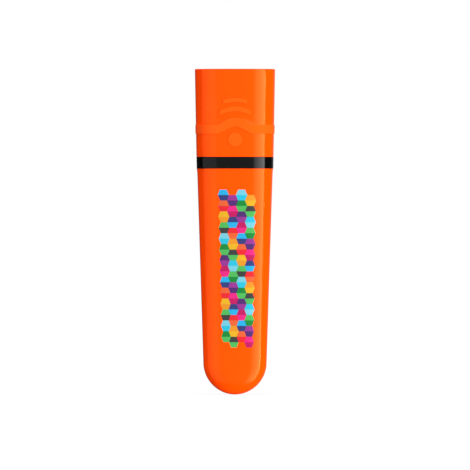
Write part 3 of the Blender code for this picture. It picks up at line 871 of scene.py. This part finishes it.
def make_print():
    """A honeycomb of two-tone tiles, each half its own ink, as a thin skin on the barrel."""
    screens = {name: screen for tile in TILE_INKS for name, screen in (tile[0:2], tile[2:4])}
    names = list(screens)
    bm = bmesh.new()
    corners = {}

    def corner(u, step):
        key = (round(u, 3), step)
        if key not in corners:
            corners[key] = bm.verts.new((u, 0.0, PRINT_TOP - step * HEX_HEIGHT / 2))
        return corners[key]

    for ink, middle, flat_step, wide_step in tile_halves():
        face = bm.faces.new((
            corner(middle - HEX_FLAT, flat_step),
            corner(middle - HEX_REACH, wide_step),
            corner(middle + HEX_REACH, wide_step),
            corner(middle + HEX_FLAT, flat_step),
        ))
        face.material_index = names.index(ink)
    bmesh.ops.subdivide_edges(bm, edges=bm.edges, cuts=INK_CUTS, use_grid_fill=True)
    for vert in bm.verts:
        vert.co = print_point(vert.co.x, vert.co.z)
    for face in bm.faces:
        face.normal_update()
        if face.normal.y > 0.0:
            face.normal_flip()
    bmesh.ops.solidify(bm, geom=bm.faces[:], thickness=INK_PROUD + INK_SUNK)
    sheet = add_mesh("printed_mosaic", bm)
    for name in names:
        sheet.data.materials.append(make_ink(name, screens[name]))
    return sheet


# ---- Assembly ----------------------------------------------------------------------------------


def fit(piece, node, body, material=None):
    """Puts a piece in a CAD node's place on its body, and gives it one material where it has none yet."""
    if material:
        piece.data.materials.clear()
        piece.data.materials.append(material)
    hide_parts(node)
    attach(piece, body)


def build_pen(looks):
    fit(make_barrel(), "barrel", "pen", looks["gloss"])
    fit(make_section(looks["black"], looks["satin"]), "section", "pen")
    fit(make_nib(), "nib", "pen", looks["nib"])
    fit(make_core(), "reservoir_core", "pen", looks["core"])
    fit(make_film_sleeve(), "reservoir_film", "pen", looks["film"])
    fit(make_straw(), "breather_tube", "pen", looks["natural"])
    mosaic = make_print()
    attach(mosaic, "pen")


def build_cap(looks):
    fit(make_cap(looks["gloss"], looks["matte"]), "cap_shell", "cap")
    fit(make_inner_cap(), "inner_cap", "cap", looks["natural"])


# ---- Studio ------------------------------------------------------------------------------------

CAMERA_DISTANCE, CAMERA_NEAR, CAMERA_FAR = 3.4, 0.1, 100.0
SENSOR = 36.0
# What the picture shows at the pen: its full width, and the height at its middle
FRAME_WIDTH = 176.25 * MM
FRAME_MIDDLE = Vector((0.0, 0.0, 59.805 * MM))

FLOOR_RADIUS, FLOOR_DROP, FLOOR_POINTS = 40.0, 0.02 * MM, 96
FLOOR_COLOUR, FLOOR_ROUGHNESS, FLOOR_GLOW = grey(0.12), 0.9, 0.87

# Lamps fixed to the camera: name, azimuth to its right, elevation, strength, spread
LAMPS = (
    ("key", 55.0, -8.0, 5.8, 18.0),
    ("left", -38.0, 0.0, 1.2, 40.0),
    ("top", 0.0, 80.0, 3.1, 30.0),
)
# Softboxes that only show in reflections. A window is its two ends in degrees and how soft each is.
TALL_WINDOW = (-38.0, 75.0, 14.0, 10.0)
BRIGHT_WINDOW = (19.4, 54.6, 3.0, 0.5)
BRIGHT_AZIMUTHS, BRIGHT_STRENGTHS = (19.4, 55.0), (1.0, 4.3)
# The plain ones: window in azimuth and strength, for the left, the front and the right behind the pen
PLAIN_BOXES = (
    ((-72.0, -18.5, 1.0, 2.0), 0.48),
    ((-18.5, 19.4, 2.0, 3.0), 0.23),
    ((130.0, 176.0, 22.0, 3.0), 0.24),
)
BASE_SHINE = 0.025
# Soft fill for diffuse light, from straight below to straight above
FILL_STRENGTHS = (0.62, 0.17)


def make_camera():
    data = bpy.data.cameras.new("camera")
    data.sensor_width = SENSOR
    data.lens = SENSOR * CAMERA_DISTANCE / FRAME_WIDTH
    data.clip_start, data.clip_end = CAMERA_NEAR, CAMERA_FAR
    camera = bpy.data.objects.new("camera", data)
    bpy.context.scene.collection.objects.link(camera)
    camera.location = FRAME_MIDDLE + Vector((0.0, -CAMERA_DISTANCE, 0.0))
    camera.rotation_mode = "QUATERNION"
    camera.rotation_quaternion = Vector((0.0, 1.0, 0.0)).to_track_quat("-Z", "Y")
    bpy.context.scene.camera = camera
    return camera


def floor_material():
    """White seen from above, and clear seen from below."""
    material, nodes, links = new_material("floor_white")
    shader = nodes["Principled BSDF"]
    shader.inputs["Base Color"].default_value = FLOOR_COLOUR
    shader.inputs["Roughness"].default_value = FLOOR_ROUGHNESS
    shader.inputs["Specular IOR Level"].default_value = 0.0
    shader.inputs["Emission Color"].default_value = WHITE
    shader.inputs["Emission Strength"].default_value = FLOOR_GLOW
    clear = add_node(nodes, "ShaderNodeBsdfTransparent")
    side = add_node(nodes, "ShaderNodeNewGeometry")
    choose = add_node(nodes, "ShaderNodeMixShader")
    links.new(side.outputs["Backfacing"], choose.inputs[0])
    links.new(shader.outputs["BSDF"], choose.inputs[1])
    links.new(clear.outputs["BSDF"], choose.inputs[2])
    links.new(choose.outputs["Shader"], nodes["Material Output"].inputs["Surface"])
    return material


def make_floor():
    """A plain white floor, left out of reflections, bounced light and shadows."""
    bm = bmesh.new()
    bmesh.ops.create_circle(bm, cap_ends=True, radius=FLOOR_RADIUS, segments=FLOOR_POINTS)
    floor = add_mesh("floor", bm)
    floor.location.z = -FLOOR_DROP
    floor.data.materials.append(floor_material())
    floor.visible_glossy = False
    floor.visible_diffuse = False
    floor.visible_shadow = False


def add_sun(camera, name, azimuth, elevation, strength, spread):
    """A soft lamp fixed to the camera, which doesn't show in reflections."""
    data = bpy.data.lights.new(name, "SUN")
    data.energy = strength
    data.angle = math.radians(spread)
    lamp = bpy.data.objects.new(name, data)
    bpy.context.scene.collection.objects.link(lamp)
    across, up = math.radians(azimuth), math.radians(elevation)
    towards = Vector((math.sin(across) * math.cos(up), math.sin(up), math.cos(across) * math.cos(up)))
    lamp.parent = camera
    lamp.rotation_mode = "QUATERNION"
    lamp.rotation_quaternion = towards.to_track_quat("Z", "Y")
    lamp.visible_glossy = False


def maths(nodes, links, operation, *values):
    """The result of a sum on numbers and node outputs."""
    node = add_node(nodes, "ShaderNodeMath", operation=operation)
    for socket, value in zip(node.inputs, values):
        if isinstance(value, (int, float)):
            socket.default_value = value
        else:
            links.new(value, socket)
    return node.outputs["Value"]


def window(nodes, links, value, low, high, soft_low, soft_high):
    """1 between two ends and 0 outside, with each end softened by so much."""
    rise = ranged(nodes, links, value, (0.0, 1.0), (low - soft_low, low + soft_low), "SMOOTHSTEP")
    fall = ranged(nodes, links, value, (1.0, 0.0), (high - soft_high, high + soft_high), "SMOOTHSTEP")
    return maths(nodes, links, "MULTIPLY", rise, fall)


def axes(nodes, links, vector):
    parts = add_node(nodes, "ShaderNodeSeparateXYZ")
    links.new(vector, parts.inputs["Vector"])
    return parts.outputs


def camera_angles(nodes, links, direction):
    """A direction's azimuth, 0 towards the camera and 90 to its right, and its elevation, in degrees."""
    turned = add_node(
        nodes, "ShaderNodeVectorTransform", vector_type="VECTOR", convert_from="WORLD", convert_to="CAMERA"
    )
    links.new(direction, turned.inputs["Vector"])
    right, up, ahead = axes(nodes, links, turned.outputs["Vector"])
    back = maths(nodes, links, "MULTIPLY", ahead, -1.0)
    azimuth = maths(nodes, links, "ARCTAN2", right, back)
    elevation = maths(nodes, links, "ARCSINE", up)
    return [maths(nodes, links, "MULTIPLY", angle, math.degrees(1.0)) for angle in (azimuth, elevation)]


def softboxes(nodes, links, direction):
    """The light that reflections see in a direction."""
    azimuth, elevation = camera_angles(nodes, links, direction)
    ramp = ranged(nodes, links, azimuth, BRIGHT_STRENGTHS, BRIGHT_AZIMUTHS)
    total = maths(nodes, links, "MULTIPLY", window(nodes, links, azimuth, *BRIGHT_WINDOW), ramp)
    for ends, strength in PLAIN_BOXES:
        box = maths(nodes, links, "MULTIPLY", window(nodes, links, azimuth, *ends), strength)
        total = maths(nodes, links, "ADD", total, box)
    tall = window(nodes, links, elevation, *TALL_WINDOW)
    return maths(nodes, links, "ADD", maths(nodes, links, "MULTIPLY", total, tall), BASE_SHINE)


def chosen(nodes, links, share, otherwise, then):
    """One strength where share is 0, and another where it is 1."""
    mix = add_node(nodes, "ShaderNodeMix", data_type="FLOAT")
    links.new(share, mix.inputs["Factor"])
    links.new(otherwise, mix.inputs["A"])
    if isinstance(then, float):
        mix.inputs["B"].default_value = then
    else:
        links.new(then, mix.inputs["B"])
    return mix.outputs["Result"]


def make_world():
    """White to the camera, softboxes to reflections, and a soft even fill to diffuse light."""
    world = bpy.data.worlds.new("studio")
    bpy.context.scene.world = world
    world.use_nodes = True
    nodes, links = world.node_tree.nodes, world.node_tree.links
    nodes.clear()
    direction = add_node(nodes, "ShaderNodeTexCoord").outputs["Generated"]
    rays = add_node(nodes, "ShaderNodeLightPath").outputs
    fill = ranged(nodes, links, axes(nodes, links, direction)["Z"], FILL_STRENGTHS, (-1.0, 1.0))
    strength = chosen(nodes, links, rays["Is Glossy Ray"], fill, softboxes(nodes, links, direction))
    strength = chosen(nodes, links, rays["Is Camera Ray"], strength, 1.0)
    background = add_node(nodes, "ShaderNodeBackground")
    background.inputs["Color"].default_value = WHITE
    links.new(strength, background.inputs["Strength"])
    output = add_node(nodes, "ShaderNodeOutputWorld")
    links.new(background.outputs["Background"], output.inputs["Surface"])


def build_studio():
    bpy.context.scene.view_settings.view_transform = "Standard"
    camera = make_camera()
    make_floor()
    make_world()
    for lamp in LAMPS:
        add_sun(camera, *lamp)


looks = make_materials()
build_pen(looks)
build_cap(looks)
build_studio()
